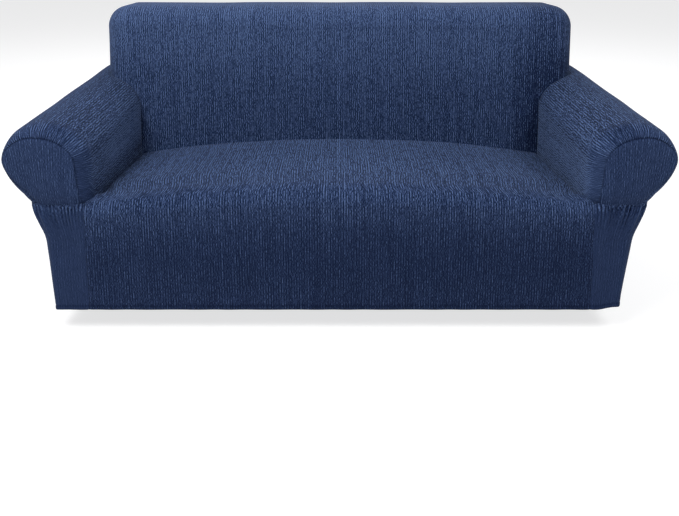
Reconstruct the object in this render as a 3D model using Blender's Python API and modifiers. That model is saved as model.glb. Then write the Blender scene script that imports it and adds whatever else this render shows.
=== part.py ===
"""A stretch slipcover for a rolled-arm sofa, hollow and open below, in the shape in which it is worn.

Sizes are in metres. The panels are worked out over the hem: x runs across the sofa from its middle, y runs
from the front of the cover to its back and z runs up from the hem. An empty then puts them in the part's
frame, whose origin is the middle of the underside of the back's top, where the sofa's back carries the cover.
"""

from functools import partial
from math import acos, cos, degrees, pi, radians, sin, sqrt, tan

import bmesh
import bpy
from mathutils import Vector

for leftover in list(bpy.data.objects):
    bpy.data.objects.remove(leftover)

# The cloth
CLOTH = 0.0025  # thickness of the stretch knit
ROUGHNESS = 0.92
SEAT_BLUE = (0.036, 0.056, 0.125)
BACK_BLUE = (0.034, 0.053, 0.120)
SLEEVE_BLUE = (0.040, 0.062, 0.135)
CAP_BLUE = (0.030, 0.047, 0.108)
SKIRT_BLUE = (0.026, 0.041, 0.098)
GAP = 0.0003  # between panels that are sewn together
EDGE_GAP = 0.0009  # from a seam's line to a panel whose edge meets the other's at an angle
LAP = CLOTH + GAP  # between the middles of two panels that lie face to face
BUTT = CLOTH / 2 + 0.0007  # from a panel's middle to the edge of one that ends on its face

# The whole cover
WIDTH = 1.968  # across the two arm rolls
DEPTH = 0.900
HEIGHT = 0.853  # from the hem to the top of the back
REAR_Y = DEPTH - CLOTH / 2
REAR_ROUND = 0.030  # radius of the edges round the outside back

# The back
BACK_X = 0.861  # half its width
BACK_Z = HEIGHT - CLOTH / 2
BACK_ROUND = 0.080  # radius of its front edges and of its top corners
BACK_FOOT_Y = 0.569  # its front face at the foot of the crevice
BACK_LEAN = tan(radians(10.5))
CREVICE_Z = 0.3245  # the foot of the crevice round the seat

# The arms
ARM_X = 0.7318  # the arm's inner face
ROLL_OUT = 0.1161  # from the roll's centre to its outer side
ROLL_X = WIDTH / 2 - CLOTH / 2 - ROLL_OUT
ROLL_IN = ROLL_X - ARM_X
ROLL_UP = 0.1069  # from the roll's centre to its top
ROLL_DROP = 0.1462  # and to its underside
ROLL_Z = 0.4693  # the centre's height at the front
ROLL_RISE = 0.042  # the roll climbs this much towards the back
ROLL_FLAT = 0.05  # share by which the underside is flattened
ARM_FOOT_Z = 0.3095  # lower edge of the sleeve inside the crevice
TUCK_Z = 0.3388  # the gathered seam under the roll
TUCK_X = 0.9170  # how far out that seam runs along the side
TUCK_ANGLE = -51.0  # the last of the roll before the sleeve runs straight to that seam
FRONT_ROUND = 0.0556  # depth over which the sleeve turns into its cap
SIDE_SEAM_X = BACK_X + LAP  # where the sleeve passes the side of the back

# How far the cap's seam lies inside the roll's outline, by the angle round the roll
CAP_INSETS = (
    # angle, inset
    (180.0, 0.0360),
    (150.0, 0.0380),
    (120.0, 0.0350),
    (90.0, 0.0315),
    (60.0, 0.0250),
    (40.0, 0.0200),
    (10.0, 0.0093),
    (-51.0, 0.0340),
)
CAP_TUCK_INSET = 0.030  # the same at the outer end of the gathered seam
CAP_FOOT_INSET = 0.030  # and at its inner end
CAP_EDGE_Y = 0.004  # depth of that seam over the roll

# The seat and the front
SEAT_Z = 0.3925  # top of the crown behind the front edge
SEAT_FALL = 0.005  # the seat falls this much towards the back
SEAT_CROWN = 0.036  # at the front it is this much lower beside the arms
REAR_CROWN = 0.052  # and at the back
CROWN_POWER = 2.2  # how late the crown falls away towards the arms
SEAT_ROUND = 0.055  # radius of its front edge
SEAT_TURN = 0.028  # radius where it turns down into the crevice
SEAT_LAP = 0.020  # length of cloth below that turn
FRONT_BOW = 0.007  # the front stands out this much in the middle
BOW_RISE = 0.15  # and reaches that bow at this height
FRONT_SEAM_TOP_X = 0.754
FRONT_SEAM_HEM_X = 0.768

# How far out the side of each arm's skirt is, and the radius of its front corner, at each height
SKIRT_SIDES = {
    "left": (
        # height, side_x, corner
        (0.000, 0.8720, 0.010),
        (0.095, 0.8745, 0.014),
        (0.185, 0.8805, 0.025),
        (0.235, 0.8865, 0.035),
        (0.280, 0.9000, 0.035),
        (0.320, 0.9115, 0.035),
        (TUCK_Z, 0.9180, 0.035),
    ),
    "right": (
        # height, side_x, corner
        (0.000, 0.8605, 0.014),
        (0.095, 0.8665, 0.018),
        (0.185, 0.8750, 0.025),
        (0.235, 0.8835, 0.035),
        (0.280, 0.8975, 0.035),
        (0.320, 0.9100, 0.035),
        (TUCK_Z, 0.9180, 0.035),
    ),
}
SKIRT_FRONT = (
    # height, front_y
    (0.235, 0.000),
    (0.280, -0.001),
    (0.320, 0.001),
    (TUCK_Z, 0.010),
)
HEM_LIFTS = {"left": 0.0, "right": 0.009}  # how far each front corner pulls the hem up
LIFT_SHARE = 0.45  # share of the front over which the hem rises to its corner
LIFT_DEPTH = 0.300  # and depth over which it falls back along the side
GATHER_DEPTH = 0.0028
GATHER_FADE = 0.060  # length of the gathers below their seam
GATHERS = 11  # pleats from the front seam to the corner
GATHER_VARIETY = 0.35  # share by which the pleats differ from each other
JOIN_Y = 0.022  # where cap, sleeve, skirt and front meet
JOIN_BLEND = 0.035  # width over which the front of the arm draws in to there


def blend(low, high, share):
    return low + (high - low) * share


def smooth(share):
    share = min(max(share, 0.0), 1.0)
    return share * share * (3.0 - 2.0 * share)


def steps(first, last, count):
    """Count even steps from first to last, both ends included."""
    return [blend(first, last, k / count) for k in range(count + 1)]


def look_up(table, key, column):
    """Smoothly reads a column of a table whose first column rises or falls."""
    rows = sorted(table)
    if key <= rows[0][0]:
        return rows[0][column]
    for below, above in zip(rows, rows[1:]):
        if key <= above[0]:
            share = (key - below[0]) / (above[0] - below[0])
            return blend(below[column], above[column], smooth(share))
    return rows[-1][column]


# ---------------------------------------------------------------- cloth


def cloth_material(name, colour):
    material = bpy.data.materials.new(name)
    material.use_nodes = True
    shader = material.node_tree.nodes["Principled BSDF"]
    shader.inputs["Base Color"].default_value = (*colour, 1.0)
    shader.inputs["Roughness"].default_value = ROUGHNESS
    shader.inputs["Metallic"].default_value = 0.0
    return material


def sheet(name, columns, rows, place, cut_away=None):
    """A grid of cloth, without the cells that are cut away, put in its place point by point and thickened."""
    grid = bmesh.new()
    bmesh.ops.create_grid(grid, x_segments=columns, y_segments=rows, size=0.5)
    if cut_away:
        middles = [(face, face.calc_center_median()) for face in grid.faces]
        unused = [f for f, at in middles if cut_away((at.x + 0.5) * columns, (at.y + 0.5) * rows)]
        bmesh.ops.delete(grid, geom=unused, context="FACES")
    for vertex in grid.verts:
        column = round((vertex.co.x + 0.5) * columns)
        row = round((vertex.co.y + 0.5) * rows)
        vertex.co = Vector(place(column, row))
    mesh = bpy.data.meshes.new(name)
    grid.to_mesh(mesh)
    grid.free()
    mesh.shade_smooth()
    panel = bpy.data.objects.new(name, mesh)
    thicken = panel.modifiers.new("cloth", "SOLIDIFY")
    thicken.thickness = CLOTH
    thicken.offset = 0.0
    return panel


# ---------------------------------------------------------------- shapes that panels share


def back_face_y(z):
    """The leaning front face of the back."""
    return BACK_FOOT_Y + (min(z, BACK_Z - BACK_ROUND) - CREVICE_Z) * BACK_LEAN


def back_corner(turn, clear):
    """x and depth behind the back's front face, at a turn round its side edge and this far off it."""
    reach = BACK_ROUND + clear
    return BACK_X - BACK_ROUND + reach * sin(turn), BACK_ROUND - reach * cos(turn)


def roll_point(angle, y, inset=0.0):
    """x and z of the roll's outline at an angle in degrees, 180 inside, 90 on top and 0 outside."""
    turn = radians(angle)
    below = angle < 0.0
    squash = 1.0 - ROLL_FLAT * sin(2.0 * abs(turn)) if below else 1.0
    across = (ROLL_OUT if angle < 90.0 else ROLL_IN) - inset
    up = (ROLL_DROP if below else ROLL_UP) - inset
    x = ROLL_X + across * cos(turn) * squash
    z = ROLL_Z + ROLL_RISE * y / DEPTH + up * sin(turn) * squash
    return x, z


def roll_top_z(x, y, inset=0.0):
    """Height of the upper half of the roll at this x."""
    return roll_point(roll_angle(x, inset), y, inset)[1]


def roll_angle(x, inset=0.0):
    across = (ROLL_OUT if x > ROLL_X else ROLL_IN) - inset
    return degrees(acos(min(max((x - ROLL_X) / across, -1.0), 1.0)))


def tuck_y(x):
    """Depth of the gathered seam under the cap."""
    return blend(SKIRT_FRONT[-1][1], JOIN_Y, smooth(1.0 - (x - FRONT_SEAM_TOP_X) / JOIN_BLEND))


def cap_edge_y(x, z):
    """Depth of the seam round the cap, which draws in towards the gathered seam."""
    low = smooth(1.0 - (z - TUCK_Z) / JOIN_BLEND)
    return blend(CAP_EDGE_Y, tuck_y(x), low)


def front_seam_x(z):
    return blend(FRONT_SEAM_HEM_X, FRONT_SEAM_TOP_X, min(z / TUCK_Z, 1.0))


# ---------------------------------------------------------------- arm sleeve

# Places round the sleeve: heights up its inner face, angles round its roll, then the seam under the roll.
# From the back's front face to its side, the places lie where the back's edge has its own.
BACK_TURNS = tuple(radians(a) for a in (0.0, 22.5, 45.0, 67.5, 90.0))
FACE_SHARES = steps(0.0, 1.0, 4)[:-1]
INNER_ANGLES = steps(180.0, roll_angle(back_corner(0.0, BUTT)[0]), 5)[:-1]
CORNER_ANGLES = [roll_angle(back_corner(turn, BUTT)[0]) for turn in BACK_TURNS]
OUTER_ANGLES = steps(roll_angle(SIDE_SEAM_X), 0.0, 5)
ROLL_ANGLES = INNER_ANGLES + CORNER_ANGLES + OUTER_ANGLES + steps(0.0, TUCK_ANGLE, 4)[1:]
FIRST_ANGLE = len(FACE_SHARES)
FIRST_CORNER = FIRST_ANGLE + len(INNER_ANGLES)
SEAM_COLUMN = FIRST_CORNER + len(BACK_TURNS)
SLEEVE_COLUMNS = FIRST_ANGLE + len(ROLL_ANGLES)

# Rows from front to back: the turn into the cap, the arm in front of the back, the arm beside it, the turn
# into the outside back
TURN_IN = [radians(a) for a in (15.0, 40.0, 65.0, 90.0)]
ARM_LENGTHS = steps(0.0, 1.0, 6)[1:]
BESIDE_BACK = (0.5, 1.0)
TURN_OUT = [radians(a) for a in (45.0, 90.0)]
BACK_ROW = len(TURN_IN) + len(ARM_LENGTHS) - 1
SLEEVE_ROWS = BACK_ROW + len(BESIDE_BACK) + len(TURN_OUT)


def cap_inset(column):
    if column == SLEEVE_COLUMNS:
        return CAP_TUCK_INSET
    if column >= FIRST_ANGLE:
        return look_up(CAP_INSETS, ROLL_ANGLES[column - FIRST_ANGLE], 1)
    return blend(CAP_FOOT_INSET, CAP_INSETS[0][1], FACE_SHARES[column])


def sleeve_outline(column, y, inset, face_foot=ARM_FOOT_Z):
    """x and z of the sleeve's section in one of its columns."""
    if column == SLEEVE_COLUMNS:
        return TUCK_X - inset, TUCK_Z + EDGE_GAP
    if column >= FIRST_ANGLE:
        return roll_point(ROLL_ANGLES[column - FIRST_ANGLE], y, inset)
    top = ROLL_Z + ROLL_RISE * y / DEPTH
    return ARM_X + inset, blend(face_foot, top, FACE_SHARES[column])


def sleeve_back_y(column, z):
    """How far back a column of the sleeve reaches in front of the back, or until it passes its side."""
    turn = BACK_TURNS[min(max(column - FIRST_CORNER, 0), len(BACK_TURNS) - 1)]
    return back_face_y(z) + back_corner(turn, BUTT)[1]


def behind_the_back(column, row):
    return column < SEAM_COLUMN and row > BACK_ROW


def cap_edge(column, shrink=0.0):
    """x and z of the cap's seam in a column, or of a point this much further inside it."""
    x, z = sleeve_outline(column, 0.0, cap_inset(column), TUCK_Z + EDGE_GAP)
    inward = Vector((ROLL_X - x, ROLL_Z - z))
    if column in (0, SLEEVE_COLUMNS):
        inward.y = 0.0
    inward = inward.normalized() * shrink
    return x + inward.x, z + inward.y


def sleeve_point(column, row):
    """A point of the right sleeve."""
    if row < len(TURN_IN):
        return turned_in(column, TURN_IN[row])
    if row > BACK_ROW + len(BESIDE_BACK):
        return turned_out(column, TURN_OUT[row - BACK_ROW - len(BESIDE_BACK) - 1])
    y = sleeve_back_y(column, sleeve_outline(column, back_face_y(ROLL_Z), 0.0)[1])
    if row <= BACK_ROW:
        y = blend(FRONT_ROUND, y, ARM_LENGTHS[row - len(TURN_IN)])
    else:
        y = blend(y, REAR_Y - REAR_ROUND, BESIDE_BACK[row - BACK_ROW - 1])
    x, z = sleeve_outline(column, y, 0.0)
    return x, y, z


def turned_in(column, turn):
    """The sleeve's turn into its cap, from the seam between them."""
    seam_x, seam_z = cap_edge(column)
    first = TURN_IN[0]
    y = blend(cap_edge_y(seam_x, seam_z), FRONT_ROUND, 1.0 - cos(turn) / cos(first))
    inset = cap_inset(column) * (1.0 - sin(turn)) / (1.0 - sin(first))
    foot = blend(TUCK_Z + EDGE_GAP, ARM_FOOT_Z, smooth((y - JOIN_Y) / (FRONT_ROUND - JOIN_Y)))
    x, z = sleeve_outline(column, y, inset, foot)
    return x, y, z


def turned_out(column, turn, shrink=0.0):
    """The sleeve's turn into the outside back."""
    y = REAR_Y - REAR_ROUND * (1.0 - sin(turn))
    inset = REAR_ROUND * (1.0 - cos(turn)) + shrink
    if column == SEAM_COLUMN:
        x, z = roll_point(roll_angle(SIDE_SEAM_X - inset, inset), y, inset)
    else:
        x, z = sleeve_outline(column, y, inset)
    return x, y, z


# ---------------------------------------------------------------- arm cap

CAP_COLUMNS = 8
CAP_ROWS = 8
CAP_BULGE = 0.010
CAP_FULLNESS = 0.75  # power that brings the bulge out towards the cap's edge
CAP_GAP = 0.00245  # from the seam's line to the cap's edge
CAP_INNER_TOP = FIRST_ANGLE + 3  # the sleeve's columns at the ends of the cap's top side
CAP_OUTER_TOP = SLEEVE_COLUMNS - 6


def cap_side(share, from_column, to_column):
    """A point of the cap's outline between two of the sleeve's columns."""
    place = blend(from_column, to_column, share)
    below = min(int(place), SLEEVE_COLUMNS - 1)
    first = Vector(cap_edge(below, CAP_GAP))
    second = Vector(cap_edge(below + 1, CAP_GAP))
    return first.lerp(second, place - below)


def cap_point(column, row):
    """A point of the right cap: a patch between its four sides, slightly domed."""
    across = column / CAP_COLUMNS
    up = row / CAP_ROWS
    inner = cap_side(up, 0, CAP_INNER_TOP)
    outer = cap_side(up, SLEEVE_COLUMNS, CAP_OUTER_TOP)
    top = cap_side(across, CAP_INNER_TOP, CAP_OUTER_TOP)
    top_chord = cap_side(0.0, CAP_INNER_TOP, CAP_OUTER_TOP).lerp(
        cap_side(1.0, CAP_INNER_TOP, CAP_OUTER_TOP), across
    )
    flat = inner.lerp(outer, across) + (top - top_chord) * up
    edge = cap_edge_y(flat.x, flat.y)
    dome = max(sin(pi * across) * sin(pi * up), 0.0) ** CAP_FULLNESS
    return flat.x, edge - CAP_BULGE * dome, flat.y


# ---------------------------------------------------------------- arm skirt

GATHER_STEPS = 4
FRONT_STEPS = GATHERS * GATHER_STEPS
CORNER_STEPS = 8
SIDE_SHARES = (0.04, 0.08, 0.13, 0.20, 0.32, 0.48, 0.65, 0.82, 1.0)
SKIRT_COLUMNS = FRONT_STEPS + CORNER_STEPS + len(SIDE_SHARES) + len(TURN_OUT)
SKIRT_HEIGHTS = (0.0, 0.095, 0.185, 0.235, 0.28, 0.305, 0.323, TUCK_Z - EDGE_GAP)


def gather(column, z):
    """How far the cloth stands out on its gathers, which fade below their seam and towards the back."""
    fade = smooth(1.0 - (TUCK_Z - z) / GATHER_FADE)
    along = column / GATHER_STEPS
    unlike = 1.0 + GATHER_VARIETY * sin(2.3 * along + 0.6)
    start = smooth(along)
    end = 1.0 - smooth((column - FRONT_STEPS) / (CORNER_STEPS + GATHER_STEPS))
    return GATHER_DEPTH * fade * start * end * unlike * sin(2.0 * pi * along)


def hem_lift(column, y, side):
    """How far the hem is pulled up at a column of the skirt."""
    rise = smooth(1.0 - (1.0 - column / FRONT_STEPS) / LIFT_SHARE)
    return HEM_LIFTS[side] * rise * (1.0 - smooth(y / LIFT_DEPTH))


def skirt_point(side, column, row, shrink=0.0):
    """A point of a skirt, from the seam at the front round the corner to the outside back."""
    z = SKIRT_HEIGHTS[row]
    side_x = look_up(SKIRT_SIDES[side], z, 1)
    corner = look_up(SKIRT_SIDES[side], z, 2)
    front_y = look_up(SKIRT_FRONT, z, 1)
    out = gather(column, z)
    past = column - FRONT_STEPS
    if past <= 0:
        seam = front_seam_x(z) + GAP
        x = blend(seam, side_x - corner, column / FRONT_STEPS)
        inner = smooth(1.0 - (x - seam) / JOIN_BLEND)
        y = blend(front_y, front_edge_y(z), inner) - out
    elif past <= CORNER_STEPS:
        turn = radians(90.0) * past / CORNER_STEPS
        x = side_x - corner + (corner + out) * sin(turn)
        y = front_y + corner - (corner + out) * cos(turn)
    elif past <= CORNER_STEPS + len(SIDE_SHARES):
        share = SIDE_SHARES[past - CORNER_STEPS - 1]
        x = side_x + out
        y = blend(front_y + corner, REAR_Y - REAR_ROUND, share)
    else:
        turn = TURN_OUT[past - CORNER_STEPS - len(SIDE_SHARES) - 1]
        x = side_x - REAR_ROUND * (1.0 - cos(turn)) - shrink
        y = REAR_Y - REAR_ROUND * (1.0 - sin(turn))
    if row == 0:
        z += hem_lift(column, y, side)
    return x, y, z


# ---------------------------------------------------------------- seat and front

SEAT_END_Y = BACK_FOOT_Y - LAP
FOOT_FOLLOW = 0.5  # how closely the seat's edge follows the turn of the arm's front
FRONT_HEIGHTS = (0.0, 0.06, 0.13, 0.195, 0.255)
EDGE_TURNS = tuple(radians(a) for a in (0.0, 18.0, 36.0, 54.0, 72.0, 90.0))
SEAT_SHARES = (0.12, 0.26, 0.42, 0.58, 0.74, 0.88, 1.0)
CREVICE_TURNS = tuple(radians(a) for a in (30.0, 60.0, 90.0))
SEAT_ROWS = len(FRONT_HEIGHTS) + len(EDGE_TURNS) + len(SEAT_SHARES) + len(CREVICE_TURNS)

# Places from the middle of the seat to its side edge: shares of its flat, then its turn into the crevice
SEAT_FLATS = (0.0, 0.18, 0.36, 0.54, 0.70, 0.84, 0.94, 1.0)
SIDE_TURNS = tuple(radians(a) for a in (30.0, 60.0, 90.0))
SEAT_HALF = len(SEAT_FLATS) + len(SIDE_TURNS)
TURN_LENGTH = SEAT_TURN * pi / 2 + SEAT_LAP


def seat_side(place):
    """For a place across the seat: share of the flat, cloth left to its edge, the same once turned, fall."""
    if place < len(SEAT_FLATS):
        share = SEAT_FLATS[place]
        return share, TURN_LENGTH, SEAT_TURN, 0.0
    past = place - len(SEAT_FLATS)
    if past < len(SIDE_TURNS):
        turn = SIDE_TURNS[past]
        left = TURN_LENGTH - SEAT_TURN * turn
        return 1.0, left, SEAT_TURN * (1.0 - sin(turn)), SEAT_TURN * (1.0 - cos(turn))
    return 1.0, 0.0, 0.0, SEAT_TURN + SEAT_LAP


def seat_edge_x(y, z):
    """Side edge of the seat, which follows the inner face of the arm round its front."""
    front = front_seam_x(z) - GAP
    if y <= JOIN_Y:
        return front
    share = min((y - JOIN_Y) / (FRONT_ROUND - JOIN_Y), 1.0)
    turned = sqrt(1.0 - (1.0 - share) ** 2)
    return min(front, ARM_X + FOOT_FOLLOW * CAP_FOOT_INSET * (1.0 - turned) - LAP)


def seat_profile(row, side):
    """y, z, the way the sides turn in (y, z) and how fully they turn, for one row of the seat and front."""
    top = SEAT_Z - SEAT_CROWN * side**CROWN_POWER
    bow = FRONT_BOW * (1.0 - side**2)
    edge_foot = top - SEAT_ROUND
    if row < len(FRONT_HEIGHTS):
        z = FRONT_HEIGHTS[row]
        return -bow * smooth(z / BOW_RISE), z, (0.0, 0.0), 0.0
    row -= len(FRONT_HEIGHTS)
    if row < len(EDGE_TURNS):
        turn = EDGE_TURNS[row]
        y = SEAT_ROUND * (1.0 - cos(turn)) - bow * cos(turn)
        z = edge_foot + SEAT_ROUND * sin(turn)
        turned = smooth((turn - radians(45.0)) / radians(45.0))
        return y, z, (cos(turn), -sin(turn)), turned
    row -= len(EDGE_TURNS)
    rear_top = SEAT_Z - SEAT_FALL - REAR_CROWN * side**CROWN_POWER
    if row < len(SEAT_SHARES):
        share = SEAT_SHARES[row]
        y = blend(SEAT_ROUND, SEAT_END_Y - SEAT_TURN, share)
        return y, blend(top, rear_top, share), (0.0, -1.0), 1.0
    row -= len(SEAT_SHARES)
    if row < len(CREVICE_TURNS):
        turn = CREVICE_TURNS[row]
        y = SEAT_END_Y - SEAT_TURN * (1.0 - sin(turn))
        return y, rear_top - SEAT_TURN * (1.0 - cos(turn)), (0.0, -1.0), 1.0
    return SEAT_END_Y, rear_top - SEAT_TURN - SEAT_LAP, (0.0, -1.0), 1.0


def front_edge_y(z):
    """Depth of the front's side edge at a height, where the skirt is sewn to it."""
    foot = SEAT_Z - SEAT_CROWN - SEAT_ROUND
    rise = min(max(z - foot, 0.0), SEAT_ROUND)
    return SEAT_ROUND - sqrt(SEAT_ROUND**2 - rise**2)


def seat_point(column, row):
    """A point of the seat and front."""
    place = abs(column - SEAT_HALF)
    hand = 1.0 if column >= SEAT_HALF else -1.0
    share, flat_left, turned_left, fall = seat_side(place)
    y, z, way, turned = seat_profile(row, share)
    y += way[0] * fall * turned
    z += way[1] * fall * turned
    edge = seat_edge_x(y, z)
    left = blend(flat_left, turned_left, turned)
    return hand * (edge - left) * share, y, z


# ---------------------------------------------------------------- inside back

# Rings round the edge of the back, from the rear seam to its flat front
REAR_TURNS = tuple(radians(a) for a in (90.0, 45.0, 0.0))
FRONT_TURNS = tuple(reversed(BACK_TURNS))
BACK_RINGS = len(REAR_TURNS) + len(FRONT_TURNS) - 1
SEAM_X = ARM_X + BUTT  # where the lower edge leaves the crevice and climbs the arm
SEAM_STEP = 0.0030
BACK_FLAT_X = BACK_X - BACK_ROUND
BACK_HALF_X = [0.13, 0.26, 0.39, 0.52, 0.64, SEAM_X, SEAM_X + SEAM_STEP, 0.765, BACK_FLAT_X]
BACK_X_PLACES = [-x for x in reversed(BACK_HALF_X)] + [0.0] + BACK_HALF_X
BACK_COLUMNS = len(BACK_X_PLACES) - 1 + 2 * BACK_RINGS
BACK_UPS = steps(0.0, 1.0, 8)
BACK_ROWS = len(BACK_UPS) - 1 + BACK_RINGS


def ring(number, z):
    """Inset from the outline of the back and depth, for a ring at a height."""
    if number < len(REAR_TURNS):
        turn = REAR_TURNS[number]
        return REAR_ROUND * (1.0 - cos(turn)), REAR_Y - REAR_ROUND * (1.0 - sin(turn))
    turn = FRONT_TURNS[number - len(REAR_TURNS)]
    return BACK_ROUND * (1.0 - sin(turn)), back_face_y(z) + BACK_ROUND * (1.0 - cos(turn))


def back_foot_z(x, number):
    """Lower edge of the inside back: in the seat's crevice, then along the arm."""
    if abs(x) <= SEAM_X:
        return CREVICE_Z
    if number >= len(REAR_TURNS):
        return roll_top_z(abs(x), back_face_y(ROLL_Z)) - LAP
    inset, y = ring(number, ROLL_Z)
    return roll_top_z(BACK_X - inset, y, inset) + (BUTT if inset else -LAP)


def back_point(column, row):
    """A point of the inside back: a flat, leaning front whose rings turn back round its sides and top."""
    from_side = min(column, BACK_COLUMNS - column)
    from_top = BACK_ROWS - row
    number = min(from_side, from_top, BACK_RINGS)
    flat_z = BACK_Z - BACK_ROUND
    hand = 1.0 if 2 * column >= BACK_COLUMNS else -1.0
    if from_side >= BACK_RINGS:
        x = abs(BACK_X_PLACES[column - BACK_RINGS])
    inset = ring(number, flat_z)[0]
    if number == BACK_RINGS:
        z = blend(back_foot_z(x, number), flat_z, BACK_UPS[row])
    elif from_side <= from_top:
        x = BACK_X - inset
        z = flat_z
        if row < len(BACK_UPS):
            z = blend(back_foot_z(x, number), flat_z, BACK_UPS[row])
        else:
            turn = radians(45.0) * (BACK_RINGS - from_top) / (BACK_RINGS - number)
            x = BACK_FLAT_X + (BACK_ROUND - inset) * cos(turn)
            z = flat_z + (BACK_ROUND - inset) * sin(turn)
    else:
        z = BACK_Z - inset
        if from_side < BACK_RINGS:
            turn = radians(90.0) - radians(45.0) * (BACK_RINGS - from_side) / (BACK_RINGS - number)
            x = BACK_FLAT_X + (BACK_ROUND - inset) * cos(turn)
            z = flat_z + (BACK_ROUND - inset) * sin(turn)
    return hand * x, ring(number, z)[1], z


# ---------------------------------------------------------------- outside back


def outside_back_outline(side, hand):
    """One half of the outside back's outline, from its hem up to the middle of its top."""
    shrink = EDGE_GAP + GAP / 2
    skirt = [skirt_point(side, SKIRT_COLUMNS, row, shrink) for row in range(len(SKIRT_HEIGHTS))]
    sleeve = [
        turned_out(column, TURN_OUT[-1], shrink) for column in range(SLEEVE_COLUMNS, SEAM_COLUMN - 1, -1)
    ]
    half = [(x, z) for x, _, z in skirt + sleeve]
    side_x = BACK_X - REAR_ROUND - shrink
    top_z = BACK_Z - REAR_ROUND - shrink
    half[-1] = (side_x, half[-1][1])
    round_corner = BACK_ROUND - REAR_ROUND - shrink
    for turn in steps(0.0, radians(90.0), 2 * BACK_RINGS):
        half.append((side_x - round_corner * (1.0 - cos(turn)), top_z - round_corner * (1.0 - sin(turn))))
    return [(hand * x, z) for x, z in half]


def outside_back():
    """A flat panel cut to the outline of the whole sofa from behind."""
    outline = outside_back_outline("right", 1.0) + outside_back_outline("left", -1.0)[::-1]
    curve = bpy.data.curves.new("outside_back", "CURVE")
    curve.dimensions = "2D"
    curve.fill_mode = "BOTH"
    curve.extrude = CLOTH / 2
    spline = curve.splines.new("POLY")
    spline.points.add(len(outline) - 1)
    for point, (x, z) in zip(spline.points, outline):
        point.co = (x, z, 0.0, 1.0)
    spline.use_cyclic_u = True
    panel = bpy.data.objects.new("outside_back", curve)
    panel.location = (0.0, REAR_Y, 0.0)
    panel.rotation_euler = (radians(90.0), 0.0, 0.0)
    return panel


# ---------------------------------------------------------------- the whole cover


def on_its_side(place, hand):
    """The same place on the arm of this hand."""

    def mirrored(column, row):
        x, y, z = place(column, row)
        return hand * x, y, z

    return mirrored


def arm_panels(side, hand):
    """The three panels of one arm, each with its colour."""
    sleeve = on_its_side(sleeve_point, hand)
    cap = on_its_side(cap_point, hand)
    skirt = on_its_side(partial(skirt_point, side), hand)
    return (
        (sheet("arm_sleeve_" + side, SLEEVE_COLUMNS, SLEEVE_ROWS, sleeve, behind_the_back), SLEEVE_BLUE),
        (sheet("arm_cap_" + side, CAP_COLUMNS, CAP_ROWS, cap), CAP_BLUE),
        (sheet("arm_skirt_" + side, SKIRT_COLUMNS, len(SKIRT_HEIGHTS) - 1, skirt), SKIRT_BLUE),
    )


def build():
    cover = bpy.data.collections.new("sofa_slipcover")
    bpy.context.scene.collection.children.link(cover)
    top_middle_y = (back_face_y(BACK_Z) + BACK_ROUND + REAR_Y - REAR_ROUND) / 2
    hem_level = bpy.data.objects.new("hem_level", None)
    hem_level.location = (0.0, -top_middle_y, -(BACK_Z - CLOTH / 2))
    cover.objects.link(hem_level)
    panels = (
        (sheet("seat_front", 2 * SEAT_HALF, SEAT_ROWS, seat_point), SEAT_BLUE),
        (sheet("inside_back", BACK_COLUMNS, BACK_ROWS, back_point), BACK_BLUE),
        (outside_back(), SKIRT_BLUE),
        *arm_panels("left", -1.0),
        *arm_panels("right", 1.0),
    )
    for panel, colour in panels:
        panel.data.materials.append(cloth_material(panel.name + "_cloth", colour))
        panel.parent = hem_level
        cover.objects.link(panel)


build()
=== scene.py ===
"""The look of a stretch slipcover on a rolled-arm sofa: nine sewn panels of navy ribbed knit.

Sizes are in metres. Points are worked out over the hem: x across from the middle, y from the front of the
cover to its back, z up from the hem. Every panel is one sheet of cloth, laid on the shape of its CAD node,
then given its seams, puckers, gathers and soft creases along its normals.
"""

from functools import partial
from math import cos, pi, radians, sin, tan

import bpy
import numpy as np
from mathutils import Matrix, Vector
from mathutils.geometry import delaunay_2d_cdt


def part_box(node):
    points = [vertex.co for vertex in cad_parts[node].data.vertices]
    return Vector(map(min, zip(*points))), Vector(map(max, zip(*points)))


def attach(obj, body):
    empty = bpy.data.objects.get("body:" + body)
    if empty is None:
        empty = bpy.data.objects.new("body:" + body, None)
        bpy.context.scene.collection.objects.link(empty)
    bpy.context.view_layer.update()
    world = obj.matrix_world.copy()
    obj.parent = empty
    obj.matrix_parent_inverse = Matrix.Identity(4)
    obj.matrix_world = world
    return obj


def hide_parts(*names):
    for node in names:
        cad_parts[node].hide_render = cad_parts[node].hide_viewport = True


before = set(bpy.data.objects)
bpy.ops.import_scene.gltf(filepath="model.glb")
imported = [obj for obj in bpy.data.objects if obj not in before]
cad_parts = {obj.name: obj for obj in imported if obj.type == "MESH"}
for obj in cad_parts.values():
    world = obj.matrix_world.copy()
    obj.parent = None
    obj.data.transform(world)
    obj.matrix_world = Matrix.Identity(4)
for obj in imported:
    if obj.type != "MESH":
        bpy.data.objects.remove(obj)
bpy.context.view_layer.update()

# Sizes of the cover. Most are the CAD model's own and a few serve the drawn cloth alone. Where one differs
# from the solids, it says so.
CLOTH = 0.0025
GAP = 0.0003
EDGE_GAP = 0.0001  # drawn closer than between the solids
LAP = CLOTH + GAP
BUTT = CLOTH / 2 + 0.0007
WIDTH = 1.968
DEPTH = 0.900
HEIGHT = 0.853
REAR_Y = DEPTH - CLOTH / 2
REAR_ROUND = 0.030

BACK_X = 0.861
BACK_Z = HEIGHT - CLOTH / 2
BACK_ROUND = 0.080
BACK_FLAT_X = BACK_X - BACK_ROUND
BACK_FLAT_Z = BACK_Z - BACK_ROUND
BACK_FOOT_Y = 0.569
BACK_LEAN = tan(radians(10.5))
CREVICE_Z = 0.3245
TUCKED_Z = 0.2945  # the drawn cloth's edge, tucked behind the seat

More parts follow.
